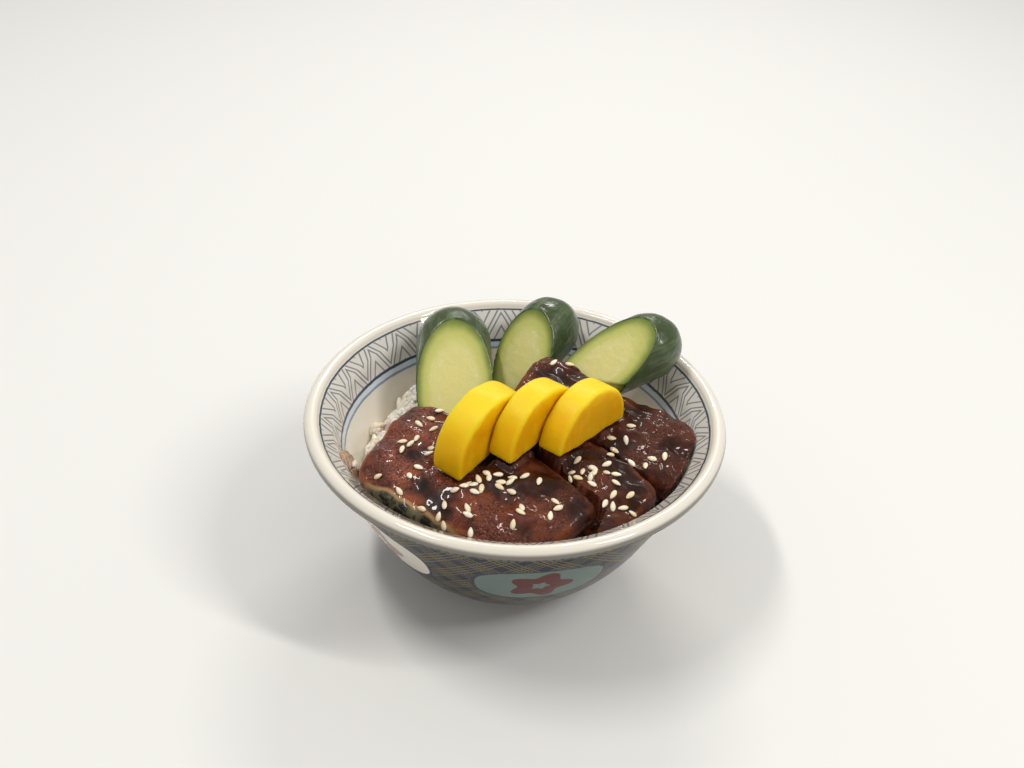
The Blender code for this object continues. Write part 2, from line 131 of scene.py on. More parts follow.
class Wires:
    """Adds nodes to one tree. A value is a number, a colour or another node's output."""

    def __init__(self, tree):
        self.tree = tree

    def join(self, value, socket):
        if isinstance(value, bpy.types.NodeSocket):
            self.tree.links.new(value, socket)
        else:
            socket.default_value = value

    def maths(self, operation, *values, clamp=False):
        made = self.tree.nodes.new("ShaderNodeMath")
        made.operation = operation
        made.use_clamp = clamp
        for value, socket in zip(values, made.inputs):
            self.join(value, socket)
        return made.outputs[0]

    def plus(self, first, second):
        return self.maths("ADD", first, second)

    def minus(self, first, second):
        return self.maths("SUBTRACT", first, second)

    def times(self, first, second):
        return self.maths("MULTIPLY", first, second)

    def divided(self, first, second):
        return self.maths("DIVIDE", first, second)

    def length(self, x, y):
        """How far a place is from the middle."""
        return self.maths("SQRT", self.plus(self.times(x, x), self.times(y, y)))

    def mixed(self, mask, first, second):
        made = self.tree.nodes.new("ShaderNodeMix")
        made.data_type = "RGBA"
        self.join(mask, made.inputs["Factor"])
        self.join(first, made.inputs[6])
        self.join(second, made.inputs[7])
        return made.outputs[2]

    def painted(self, colour, mask, share, new):
        """The colour with a new one painted over it, where the mask says, by a share."""
        return self.mixed(self.times(mask, share), colour, new)

    def step(self, value, low, high):
        """0 below low and 1 above high, smooth between."""
        made = self.tree.nodes.new("ShaderNodeMapRange")
        made.interpolation_type = "SMOOTHSTEP"
        self.join(value, made.inputs["Value"])
        self.join(low, made.inputs["From Min"])
        self.join(high, made.inputs["From Max"])
        return made.outputs["Result"]

    def grain(self, scale, detail=3.0, vector=None):
        made = self.tree.nodes.new("ShaderNodeTexNoise")
        made.inputs["Scale"].default_value = scale
        made.inputs["Detail"].default_value = detail
        made.inputs["Roughness"].default_value = 0.55
        self.join(vector or self.place(), made.inputs["Vector"])
        return made.outputs["Fac"]

    def uneven(self, value, scale, detail, amount):
        """The value, moved up and down by noise."""
        return self.plus(value, self.times(self.minus(self.grain(scale, detail), 0.5), amount))

    def place(self):
        return self.tree.nodes.new("ShaderNodeTexCoord").outputs["Object"]

    def marked(self, name):
        made = self.tree.nodes.new("ShaderNodeAttribute")
        made.attribute_name = name
        return made.outputs["Fac"]

    def split(self, vector):
        made = self.tree.nodes.new("ShaderNodeSeparateXYZ")
        self.join(vector, made.inputs[0])
        return made.outputs

    def group(self, tree, **values):
        made = self.tree.nodes.new("ShaderNodeGroup")
        made.node_tree = tree
        for name, value in values.items():
            self.join(value, made.inputs[name.replace("_", " ")])
        return made.outputs


def new_finish(name, **settings):
    """A Principled material: plain values are set on the shader's own sockets."""
    material = bpy.data.materials.new(name)
    material.use_nodes = True
    shader = material.node_tree.nodes["Principled BSDF"]
    for key, value in settings.items():
        shader.inputs[key.replace("_", " ")].default_value = value
    return material, shader, Wires(material.node_tree)


def new_group(name, inputs, outputs):
    """An empty node group with named sockets, its wires and its two end nodes."""
    tree = bpy.data.node_groups.new(name, "ShaderNodeTree")
    for socket, kind, value in inputs:
        made = tree.interface.new_socket(socket, in_out="INPUT", socket_type=kind)
        made.default_value = value
    for socket, kind in outputs:
        tree.interface.new_socket(socket, in_out="OUTPUT", socket_type=kind)
    return tree, Wires(tree), tree.nodes.new("NodeGroupInput"), tree.nodes.new("NodeGroupOutput")


# %% [markdown]
# ## Effects that several finishes share
# "stripe" is a soft-edged band round a value, for painted lines, the cucumber's seeds and the
# eel's edges. "moist relief" turns noise into a fine uneven surface, as any wet food has.

# %% Shared groups
FLOAT, VECTOR = "NodeSocketFloat", "NodeSocketVector"


def stripe_group():
    """1 within half the width of a middle value, 0 outside, with a soft edge."""
    starts = (("Value", 0.0), ("Middle", 0.0), ("Width", 1.0), ("Blur", 0.1))
    inputs = [(name, FLOAT, value) for name, value in starts]
    tree, wires, start, end = new_group("stripe", inputs, [("Mask", FLOAT)])
    value, middle, width, blur = start.outputs[:4]
    away = wires.maths("ABSOLUTE", wires.minus(value, middle))
    half = wires.times(width, 0.5)
    faded = wires.step(away, wires.minus(half, blur), wires.plus(half, blur))
    wires.join(wires.minus(1.0, faded), end.inputs["Mask"])
    return tree


def moist_group():
    """Noise at a scale, as a normal that makes the surface uneven by a height in millimetres."""
    inputs = [("Scale", FLOAT, 300.0), ("Height", FLOAT, 0.2)]
    tree, wires, start, end = new_group("moist relief", inputs, [("Normal", VECTOR)])
    made = tree.nodes.new("ShaderNodeTexNoise")
    made.inputs["Detail"].default_value = 4.0
    wires.join(start.outputs["Scale"], made.inputs["Scale"])
    wires.join(wires.place(), made.inputs["Vector"])
    bump = tree.nodes.new("ShaderNodeBump")
    bump.inputs["Strength"].default_value = 1.0
    bump.inputs["Distance"].default_value = 1.0
    height = wires.times(start.outputs["Height"], MM)
    wires.join(wires.times(made.outputs["Fac"], height), bump.inputs["Height"])
    wires.join(bump.outputs[0], end.inputs["Normal"])
    return tree


stripe, moist = stripe_group(), moist_group()
print("groups:", stripe.name, "and", moist.name)


def stripe_mask(wires, value, middle, width, blur):
    """The mask of one soft-edged stripe."""
    return wires.group(stripe, Value=value, Middle=middle, Width=width, Blur=blur)["Mask"]


def moisten(wires, shader, scale, height):
    """Makes a surface finely uneven."""
    wires.join(wires.group(moist, Scale=scale, Height=height)["Normal"], shader.inputs["Normal"])


# %% [markdown]
# ## The bowl's outline
# A thrown bowl is a turned shape. One outline runs up the inside, over the rolled rim and down
# the belly to the foot, and the spin operator sweeps it round. These sizes are the solid's own.

# %% The outline's sizes
RIM_RADIUS, RIM_HEIGHT, BEAD_RADIUS = 77.5 * MM, 70 * MM, 2.8 * MM
NECK_RADIUS, NECK_HEIGHT, WALL = 71 * MM, 63.5 * MM, 4 * MM
FOOT_RADIUS, FOOT_TOP_RADIUS, FOOT_HEIGHT = 31.5 * MM, 33 * MM, 6 * MM
FOOT_RING_WIDTH, FOOT_RECESS, BELLY_POWER = 3.5 * MM, 4.5 * MM, 0.56
WALL_POINTS = 26


def belly_points(count):
    """Up the outer wall, closer together low down, where it curves most."""
    points = []
    for i in range(count):
        share = (i / (count - 1)) ** 1.8
        radius = FOOT_TOP_RADIUS + (NECK_RADIUS - FOOT_TOP_RADIUS) * share**BELLY_POWER
        points.append(Vector((radius, FOOT_HEIGHT + (NECK_HEIGHT - FOOT_HEIGHT) * share)))
    return points


def inner_points(count, inset):
    """The outer wall moved inwards, square to itself."""
    outer = belly_points(count)
    moved = []
    for i, point in enumerate(outer):
        along = outer[min(i + 1, count - 1)] - outer[max(i - 1, 0)] if i else Vector((1.0, 0.0))
        along.normalize()
        moved.append(point + Vector((-along.y, along.x)) * inset)
    return moved


def radius_inside(height, inset):
    """The radius of the moved wall at a height."""
    wall = inner_points(WALL_POINTS, inset)
    heights, radii = [p.y for p in wall], [p.x for p in wall]
    over = max(0.0, height - heights[-1])
    return float(np.interp(height, heights, radii)) + 1.2 * over


def bead_points(count):
    """The rolled rim, from its inner side over the top to its underside."""
    points = []
    for i in range(count):
        angle = math.radians(165 - 260 * i / (count - 1))
        turn = Vector((math.cos(angle), math.sin(angle)))
        points.append(Vector((RIM_RADIUS - BEAD_RADIUS, RIM_HEIGHT - BEAD_RADIUS)) + turn * BEAD_RADIUS)
    return points


# %% The whole outline
recess = FOOT_RADIUS - FOOT_RING_WIDTH
outline = [Vector((0.0, FOOT_HEIGHT + WALL))] + inner_points(WALL_POINTS, WALL) + bead_points(18)
outline += belly_points(WALL_POINTS)[::-1]
foot_ring = ((31.6, 0.9), (31.2, 0.25), (30.6, 0.0), (28.8, 0.0), (28.1, 0.3))
outline += [Vector(point) * MM for point in foot_ring]
outline += [Vector((recess - 1.0 * MM, FOOT_RECESS)), Vector((0.0, FOOT_RECESS))]
steps = [(there - here).length for here, there in zip(outline, outline[1:])]
climbs = np.concatenate([[0.0], np.cumsum(steps)]) / MM
print("outline of", len(outline), "points,", round(float(climbs[-1])), "mm long")

# %% [markdown]
# The outline starts as one vertex, which is extruded from point to point. The spin is closed by
# merging the seam and the two poles, and the faces are turned outwards at the end.


# %% The turned bowl
def one_vertex_at(place):
    """A mesh of a single selected vertex, in edit mode."""
    nothing_selected()
    bpy.ops.mesh.primitive_plane_add(size=0.01, location=(0, 0, 0))
    bpy.ops.object.mode_set(mode="EDIT")
    bpy.ops.mesh.select_all(action="SELECT")
    bpy.ops.mesh.merge(type="CENTER")
    bpy.ops.transform.translate(value=place)
    return bpy.context.object


def spun(outline, steps):
    """The outline extruded as a line of edges and spun round the Z axis."""
    obj = one_vertex_at((outline[0].x, 0.0, outline[0].y))
    for here, there in zip(outline, outline[1:]):
        move = (there.x - here.x, 0.0, there.y - here.y)
        bpy.ops.mesh.extrude_region_move(TRANSFORM_OT_translate={"value": move})
    bpy.ops.mesh.select_all(action="SELECT")
    bpy.ops.mesh.spin(steps=steps, angle=math.tau, center=(0, 0, 0), axis=(0, 0, 1))
    bpy.ops.mesh.select_all(action="SELECT")
    bpy.ops.mesh.remove_doubles(threshold=0.00001)
    bpy.ops.mesh.normals_make_consistent(inside=False)
    bpy.ops.object.mode_set(mode="OBJECT")
    return obj


bowl = spun(outline, 160)
places = places_of(bowl)
around = np.hypot(places[:, 0], places[:, 1])
gaps = [np.hypot(around - point.x, places[:, 2] - point.y) for point in outline]
mark(bowl, "climb", climbs[np.argmin(gaps, axis=0)])
print("bowl:", len(bowl.data.vertices), "vertices")

# %% [markdown]
# ## The bowl's painting
# The glaze is a warm white. Inside, under the lip, a band of nested zigzags runs between blue
# lines. Outside, gold lines cross on slate blue, and rounded panels hold plain five-petalled
# flowers. All of it is drawn from two numbers: how far round the bowl a point is, and how far
# along the outline, which each vertex keeps under the name "climb".


# %% Painted bands
def climb_at(radius, height):
    """How far along the outline, in millimetres, the point nearest to this one is."""
    gaps = [math.hypot(point.x - radius * MM, point.y - height * MM) for point in outline]
    return float(climbs[int(np.argmin(gaps))])


LIP_LINE = climb_at(71.2, 67.0) - 0.6
LOW_LINE = climb_at(64.1, 56.0)
ZIGZAGS = 28
print("the inner band runs from", round(LOW_LINE, 1), "to", round(LIP_LINE, 1), "mm")


def inner_band(wires, turn, climb):
    """Nested zigzags between two painted lines, as a mask of thin lines."""
    across = wires.divided(wires.minus(climb, LOW_LINE), LIP_LINE - LOW_LINE)
    peak = wires.maths("PINGPONG", wires.times(turn, float(2 * ZIGZAGS)), 1.0)
    away = wires.maths("ABSOLUTE", wires.minus(across, peak))
    near = wires.maths("PINGPONG", wires.times(wires.minus(away, 0.13), 2.4), 0.5)
    thin = stripe_mask(wires, near, 0.0, 0.24, 0.06)
    return wires.times(thin, stripe_mask(wires, across, 0.5, 0.93, 0.01))


def lines_at(wires, value, lines, blur=0.18):
    """A mask of painted lines, each a middle and a width."""
    total = 0.0
    for middle, width in lines:
        one = stripe_mask(wires, value, middle, width, blur)
        total = wires.maths("MAXIMUM", total, one)
    return total


# %% [markdown]
# The outside panels repeat six times round. Half a sector is added, so that a panel's middle lies
# where the fraction is a half. Inside a panel, a flower is a circle whose radius swells five
# times as it goes round.

# %% Painted panels
PANELS, PANEL_SHIFT, WAY_ROUND = 6, 1.32, 366.0
PANEL_HALVES, PANEL_POWER = (22.0, 12.5), 2.6
PETALS, FLOWER_RADIUS, FLOWER_SWELL = 5.0, 9.6, 1.9
SLANTED_LINES, LINE_SLANT = 28.0, 0.082
# Painted shade: the lip's underside turns grey from LIP_UNDER down to LIP_SHADE.
LIP_UNDER, LIP_SHADE = climb_at(76.5, 69.3), climb_at(77.35, 68.1)
FIELD_TOP, OUTER_LOW = climb_at(77.5, 67.0), climb_at(38.0, 8.2)
PANEL_MIDDLE = climb_at(61.0, 36.0)
print("the outer field runs from", round(FIELD_TOP, 1), "to", round(OUTER_LOW, 1), "mm")


def lattice(wires, turn, climb):
    """Bundles of four thin lines that cross on the slant."""
    mask = 0.0
    bundle = [(middle, 0.04) for middle in (0.10, 0.26, 0.42, 0.58)]
    for slant in (LINE_SLANT, -LINE_SLANT):
        slanted = wires.plus(wires.times(turn, SLANTED_LINES), wires.times(climb, slant))
        within = wires.maths("FRACT", wires.plus(slanted, 50.0))
        mask = wires.maths("MAXIMUM", mask, lines_at(wires, within, bundle, 0.02))
    return mask


def panel(wires, turn, climb):
    """Masks of the panels, of their rims, of the flowers and of every other panel."""
    sector = wires.plus(wires.times(turn, float(PANELS)), PANEL_SHIFT)
    sector = wires.plus(sector, 100.5)
    offset = wires.minus(wires.maths("FRACT", sector), 0.5)
    along, up = wires.times(offset, WAY_ROUND / PANELS), wires.minus(climb, PANEL_MIDDLE)
    form = 0.0
    for distance, half in zip((along, up), PANEL_HALVES):
        share = wires.maths("ABSOLUTE", wires.divided(distance, half))
        form = wires.plus(form, wires.maths("POWER", share, PANEL_POWER))
    mask = wires.minus(1.0, wires.step(form, 0.97, 1.03))
    rim = stripe_mask(wires, form, 1.08, 0.16, 0.04)
    wave = wires.maths("COSINE", wires.times(wires.maths("ARCTAN2", up, along), PETALS))
    reach = wires.plus(FLOWER_RADIUS, wires.times(wave, FLOWER_SWELL))
    ratio = wires.divided(wires.length(along, up), reach)
    flower = wires.minus(wires.step(ratio, 0.26, 0.30), wires.step(ratio, 0.97, 1.03))
    other = wires.maths("FRACT", wires.times(wires.maths("FLOOR", sector), 0.5))
    return mask, rim, flower, wires.maths("GREATER_THAN", other, 0.25)


# %% [markdown]
# The colours follow in the order in which a painter would lay them: first the glaze with its inner
# band, then a darker patch on it at the front left, and then the outer field with its panels.


# %% The colours of the painting
def painted_inside(wires, turn, drawn):
    """The warm glaze with the zigzag band, its lines and the two blue lines below it."""
    colour = wires.mixed(wires.grain(35.0), tint(228, 223, 210), tint(239, 233, 221))
    band = wires.step(drawn, LOW_LINE, LOW_LINE + 0.3)
    band = wires.minus(band, wires.step(drawn, LIP_LINE - 0.3, LIP_LINE))
    colour = wires.mixed(band, colour, tint(226, 223, 216))
    colour = wires.painted(colour, inner_band(wires, turn, drawn), 0.8, tint(100, 106, 116))
    wash = lines_at(wires, drawn, ((LOW_LINE - 1.6, 2.0),))
    colour = wires.painted(colour, wash, 0.85, tint(210, 224, 242))
    thin = lines_at(wires, drawn, ((LIP_LINE, 0.75), (LOW_LINE, 1.2)))
    colour = wires.mixed(thin, colour, tint(72, 82, 102))
    blue = lines_at(wires, drawn, ((LOW_LINE - 3.1, 1.0),))
    return wires.painted(colour, blue, 0.85, tint(104, 136, 168))


def smeared(wires, turn, climb, colour):
    """A dark patch on the wall at the front left, beside the left strip, ragged above and below."""
    # The wall is painted darker here, between the left strip and the rim.
    smear = stripe_mask(wires, turn, SMEAR_TURN, SMEAR_WIDTH, 0.025)
    ragged = wires.plus(climb, wires.times(wires.grain(180.0), 2.4))
    smear = wires.times(smear, wires.step(ragged, LOW_LINE - 9.0, LOW_LINE - 3.0))
    above = wires.step(ragged, LIP_LINE - 1.4, LIP_LINE + 0.4)
    smear = wires.times(smear, wires.maths("SUBTRACT", 0.85, above, clamp=True))
    return wires.mixed(smear, colour, tint(50, 42, 32))


def painted_outside(wires, turn, drawn):
    """Gold lines on slate blue, and over them the panels with their flowers."""
    # These are the print's colours, also painted darker as painted shade for the outside wall, which
    # gets little light.
    ground = wires.mixed(wires.grain(420.0), tint(24, 29, 50), tint(42, 47, 66))
    ground = wires.painted(ground, lattice(wires, turn, drawn), 0.75, tint(140, 126, 70))
    mask, rim, flower, other = panel(wires, turn, drawn)
    ground = wires.mixed(rim, ground, tint(54, 56, 66))
    # Every other panel is filled cream, like the one at the left. On the right side this cream also
    # stands in for glare, a painted highlight.
    filling = wires.mixed(other, tint(104, 122, 116), tint(226, 219, 207))
    brush = wires.mixed(other, tint(92, 30, 26), tint(168, 146, 136))
    return wires.mixed(mask, ground, wires.mixed(flower, filling, brush))


# %% The bowl's glaze
SMEAR_TURN, SMEAR_WIDTH = -0.345, 0.11


def porcelain_finish():
    """Clear-glazed white porcelain with its painting under the glaze, and painted shade under the lip.
    """
    material, shader, wires = new_finish(
        "painted_porcelain", Roughness=0.25, Coat_Roughness=0.05, Specular_IOR_Level=0.15)
    x, y = wires.split(wires.place())[:2]
    turn = wires.divided(wires.maths("ARCTAN2", y, x), math.tau)
    climb = wires.marked("climb")
    drawn = wires.uneven(climb, 260.0, 2.0, 0.5)
    colour = smeared(wires, turn, climb, painted_inside(wires, turn, drawn))
    # Painted shade: the underside of the rolled lip is painted grey, as it would look in shadow.
    colour = wires.mixed(wires.step(climb, LIP_UNDER, LIP_SHADE), colour, tint(128, 124, 116))
    field = wires.step(drawn, FIELD_TOP, FIELD_TOP + 1.0)
    field = wires.minus(field, wires.step(drawn, OUTER_LOW, OUTER_LOW + 0.4))
    colour = wires.mixed(field, colour, painted_outside(wires, turn, drawn))
    foot_line = lines_at(wires, drawn, ((OUTER_LOW + 4.0, 0.9),))
    colour = wires.mixed(foot_line, colour, tint(70, 86, 122))
    wires.join(colour, shader.inputs["Base Color"])
    wires.join(wires.minus(0.6, wires.times(field, 0.55)), shader.inputs["Coat Weight"])
    moisten(wires, shader, 90.0, 0.12)
    return material


finished(bowl, "bowl_painted", ["bowl"], porcelain_finish(), angle=50)

# %% [markdown]
# ## What lies on what
# Each lower piece is kept below the pieces above it. A tree of faces answers quickly what is
# straight above a place, or straight below it.


# %% Pieces in place
def tree_of(obj):
    """A search tree over an object's faces."""
    places = [vertex.co for vertex in obj.data.vertices]
    return BVHTree.FromPolygons(places, [polygon.vertices[:] for polygon in obj.data.polygons])


def ceiling(trees, x, y, reach):
    """The lowest underside above a place and above the places within reach of it."""
    lowest = math.inf
    for ring in range(4 if reach else 1):
        for i in range(8 if ring else 1):
            out, angle = reach * ring / 3, math.tau * i / 8
            start = Vector((x + out * math.cos(angle), y + out * math.sin(angle), 0.0))
            for tree in trees:
                hit = tree.ray_cast(start, Vector((0, 0, 1)))[0]
                lowest = min(lowest, hit.z) if hit else lowest
    return lowest


trees = []

# %% [markdown]
# ## Pickled radish
# A half moon is a slice of half a radish: a cylinder cut in two. Its far lower corner is worn
# round, its edges are soft, and a fine remesh lets the faces swell a little, as wet pickle does.

# %% Half moons
RADISHES = (
    ("radish_left", (-18.2, -38.3, 64.5), 20.6, 12.3, 11),
    ("radish_middle", (-1.0, -34.0, 70.0), 19.2, 10.0, 4),
    ("radish_right", (16.0, -30.2, 71.0), 19.2, 10.0, -5),
)
RADISH_TURN = math.radians(51)


def half_moon(near_end, radius, width, rise, phase):
    """An upright half moon, first made along X and then leaned and turned to its place."""
    nothing_selected()
    turned = (math.radians(90), 0, 0)
    bpy.ops.mesh.primitive_cylinder_add(
        vertices=96, radius=radius * MM, depth=width * MM, rotation=turned)
    obj = bpy.context.object
    bpy.ops.object.transform_apply(location=True, rotation=True, scale=True)
    bpy.ops.object.mode_set(mode="EDIT")
    cut_away((0, 0, 0), (0, 0, -1))
    cut_away(((radius - 1.5) * MM, 0, 0), (1, 0, -0.9))
    bpy.ops.object.mode_set(mode="OBJECT")
    sharp = math.radians(35)
    with_modifier(obj, "BEVEL", width=2.5 * MM, segments=6, limit_method="ANGLE", angle_limit=sharp)
    with_modifier(obj, "REMESH", mode="VOXEL", voxel_size=0.45 * MM)
    with_modifier(obj, "SMOOTH", factor=0.5, iterations=8)
    places = places_of(obj)
    flat = 1 - np.clip((np.hypot(places[:, 0], places[:, 2]) / MM - radius + 2.2) / 1.6, 0, 1)
    flat *= np.clip((np.abs(places[:, 1]) / MM - width / 2 + 1.4) / 1.0, 0, 1)
    height = np.clip(places[:, 2] / (radius * MM), 0, 1)
    for i, vertex in enumerate(obj.data.vertices):
        spot = vertex.co / (7 * MM) + Vector((phase, 0, 0))
        ridge = 0.10 * math.sin(vertex.co.x / (1.3 * MM) + 3 * noise.noise(spot)) * flat[i]
        places[i] += np.array(vertex.normal) * (0.35 * noise.noise(spot) + 0.10 + ridge) * MM
    place = Matrix.Translation(Vector(near_end) * MM) @ Matrix.Rotation(RADISH_TURN, 4, "Z")
    place = place @ Matrix.Rotation(-math.radians(rise), 4, "Y")
    place = place @ Matrix.Translation((radius * MM, width * MM / 2, 0.0))
    move_all(obj, [place @ Vector(p) for p in places])
    mark(obj, "flat", flat)
    mark(obj, "height", height)
    return obj


# %% [markdown]
# Pickled radish is a clear yellow, palest on the rounded outside and more golden on the cut faces,
# where the light sinks in. Both are painted lighter towards the top, as painted light from above.
# Subsurface light gives it the soft, wet look.


# %% Pickle finish
def pickle_finish():
    """Yellow pickled radish."""
    material, shader, wires = new_finish(
        "pickled_radish", Roughness=0.5, Specular_IOR_Level=0.25,
        Coat_Weight=0.05, Coat_Roughness=0.3,
        Subsurface_Weight=0.7, Subsurface_Scale=0.008, Subsurface_Radius=(1.0, 0.6, 0.1))
    flat, height = wires.marked("flat"), wires.marked("height")
    # Painted light: the outside and the cut faces are both lighter towards the top, as if lit from
    # above.
    top = wires.step(height, 0.55, 1.0)
    outside = wires.mixed(top, tint(243, 192, 0), tint(252, 215, 34))
    face = wires.mixed(top, tint(230, 170, 0), tint(242, 192, 0))
    colour = wires.mixed(flat, outside, face)
    cloud = wires.step(wires.grain(170.0, 4.0), 0.50, 0.78)
    colour = wires.painted(colour, cloud, 0.5, tint(250, 216, 16))
    wires.join(colour, shader.inputs["Base Color"])
    moisten(wires, shader, 700.0, 0.10)
    return material


pickle_paint = pickle_finish()
for number, (name, near_end, radius, width, rise) in enumerate(RADISHES):
    moon = half_moon(near_end, radius, width, rise, 5.0 * number)
    finished(moon, name + "_slice", [name], pickle_paint)
    trees.append(tree_of(moon))

# %% [markdown]
# ## Glazed eel
# A strip is a slab that bends over the rice. It starts as a fine grid, one step long and wide,
# extruded down by one step. Each vertex then moves to its place on the real strip: along, across
# and down. The flesh is plump between furrows, so its top follows several sizes of noise.

# %% The strips' corners
EEL_THICKNESS, EEL_LIFT, EEL_GAP = 7.4 * MM, 2.5 * MM, 0.9 * MM
WALL_MARGIN, GAP = 5 * MM, 0.4 * MM
EEL_STRIPS = (
    ("eel_left", (-37, 11, 65), (32, -44, 64.5), (11, -66, 57.5), (-58, -29, 59), 4, 3, 6, 2.9),
    ("eel_middle", (-13, 9, 70), (54, -31, 63), (36, -57, 57), (-25, -11, 62), 3, 2, 2, 1.7),
    ("eel_right", (10, 32, 76.2), (71, -4, 68), (59, -31.5, 60), (-7, 2, 67), -2, 2, 0, 0.4),
)


def flakes(u, v, phase):
    """The flesh's large form: plump flakes, a furrow along the middle, and edges that turn down."""
    furrow = -0.8 * math.exp(-(((v - 0.12 * math.sin(4 * u + phase)) / 0.17) ** 2))
    spot = Vector((3.1 * u + phase, 2.2 * v, phase))
    plump = 1.5 * noise.noise(spot) + 0.9 * noise.noise(2.3 * spot)
    return (furrow + plump - 1.3 * (abs(v) ** 6 + abs(u) ** 9)) * MM


def strip_point(strip, u, v):
    """The top of a strip at u along it and v across it, both from -1 to 1."""
    _, far_left, far_right, near_right, near_left, arch, crown, bulge, phase = strip
    s = 0.5 + 0.5 * u * math.sqrt(1 - 0.12 * v**4)
    t = 0.5 + 0.5 * v * math.sqrt(1 - 0.12 * u**4)
    far = Vector(far_left).lerp(Vector(far_right), s) * MM
    near = Vector(near_left).lerp(Vector(near_right), s) * MM
    place = near.lerp(far, t)
    across = (far - near).normalized()
    place += across * 0.8 * MM * math.sin(9 * s + phase) * abs(v) ** 3
    place -= across * bulge * MM * (1 - u * u) * (1 - t)
    place.z += (arch * (1 - u * u) * (0.7 + 0.3 * v) + crown * (1 - v * v)) * MM
    place.z += flakes(u, v, phase)
    return place


# %% [markdown]
# Finer relief comes on top of the large form. Ridged noise gives the torn, blistered lumps that
# grilling leaves, and the low places between them are where the glaze will pool and darken.

# %% The flesh's relief
LUMP, BLISTER = 4.6 * MM, 1.5 * MM


def lumps(x, y, phase):
    """Relief in millimetres, and how blistered the place is, from 0 to 1."""
    spot = Vector((x / LUMP, y / LUMP, phase))
    spot += 0.5 * Vector((noise.noise(spot * 0.7), noise.noise(spot * 0.7 + Vector((9, 9, 9))), 0.0))
    blistered = min(1.0, max(0.0, 0.45 + 2.4 * noise.noise(0.42 * spot + Vector((4, 0, 0)))))
    cell = noise.voronoi(spot)[0]
    body = min(1.0, 1.6 * (cell[1] - cell[0])) - 0.5
    fine = noise.noise(Vector((x / BLISTER, y / BLISTER, phase)))
    broad = noise.noise(0.40 * spot)
    return 0.90 * broad + (0.48 * body + 0.26 * fine) * (0.15 + 0.85 * blistered), blistered


def slab(length_steps, width_steps, side_steps):
    """A grid from -1 to 1, extruded down by 1 and cut into rows along its sides."""
    nothing_selected()
    bpy.ops.mesh.primitive_grid_add(x_subdivisions=length_steps, y_subdivisions=width_steps, size=2)
    obj = bpy.context.object
    bpy.ops.object.mode_set(mode="EDIT")
    bpy.ops.mesh.select_all(action="SELECT")
    bpy.ops.mesh.extrude_region_move(TRANSFORM_OT_translate={"value": (0, 0, -1)})
    bpy.ops.object.mode_set(mode="OBJECT")
    upright = []
    for edge in obj.data.edges:
        first, second = (obj.data.vertices[i].co for i in edge.vertices)
        upright.append(abs(first.z - second.z) > 0.5)
    obj.data.vertices.foreach_set("select", [False] * len(obj.data.vertices))
    obj.data.polygons.foreach_set("select", [False] * len(obj.data.polygons))
    obj.data.edges.foreach_set("select", upright)
    bpy.ops.object.mode_set(mode="EDIT")
    bpy.ops.mesh.select_mode(type="EDGE")
    bpy.ops.mesh.subdivide(number_cuts=side_steps)
    bpy.ops.mesh.select_all(action="SELECT")
    bpy.ops.mesh.normals_make_consistent(inside=False)
    bpy.ops.object.mode_set(mode="OBJECT")
    return obj


# %% One strip
EDGE_ROUNDING = 2.0 * MM


def edge_drop(away):
    """How far the top drops at this distance from the strip's edge."""
    share = max(0.0, 1 - away / EDGE_ROUNDING)
    return EDGE_ROUNDING * (1 - math.sqrt(1 - share * share))


def eel_strip(strip, trees):
    """The slab bent over the rice, under what lies on it and inside the bowl."""
    obj = slab(124, 76, 7)
    phase = strip[-1]
    length = (Vector(strip[2]) - Vector(strip[1])).length * MM / 2
    breadth = (Vector(strip[1]) - Vector(strip[4])).length * MM / 2
    places, relief, depth, blisters, edge = [], [], [], [], []
    for vertex in obj.data.vertices:
        u, v, w = vertex.co
        place = strip_point(strip, u, v)
        if ceiling(trees, place.x, place.y, 0.0) < math.inf:
            place.z += EEL_LIFT
        rough, blistered = lumps(place.x, place.y, phase)
        place.z = min(place.z, ceiling(trees, place.x, place.y, 3.0 * MM) - EEL_GAP)
        away = min((1 - abs(u)) * length, (1 - abs(v)) * breadth)
        place.z += (rough - 0.25) * MM * (1 + w) - edge_drop(away)
        thick = EEL_THICKNESS - 1.6 * edge_drop(away)
        place.z += w * thick
        ragged = 0.5 * MM * math.sin(math.pi * -w) * (0.6 + noise.noise(place / (2.2 * MM)))
        side = Vector((place.x, place.y, 0.0)) - Vector((0, -15 * MM, 0))
        if away < 0.01 * MM:
            place += side.normalized() * ragged
        reach = math.hypot(place.x, place.y)
        margin = radius_inside(place.z, WALL + GAP) - WALL_MARGIN
        if reach > margin:
            squeezed = margin + WALL_MARGIN * math.tanh((reach - margin) / WALL_MARGIN)
            place.x *= squeezed / reach
            place.y *= squeezed / reach
        places.append(place)
        for values, value in ((relief, rough), (depth, -w), (blisters, blistered), (edge, away / MM)):
            values.append(value)
    move_all(obj, places)
    for name, values in (("relief", relief), ("depth", depth), ("blistered", blisters), ("edge", edge)):
        mark(obj, name, values)
    return obj


# %% [markdown]
# The glaze is dark soy caramel: nearly black where it pools, red-brown on the ridges, with a very
# shiny coat. The sides show what the knife cut: pale flesh over a dark silver skin. On the left
# strip they also show from above, along the wall at the front left.


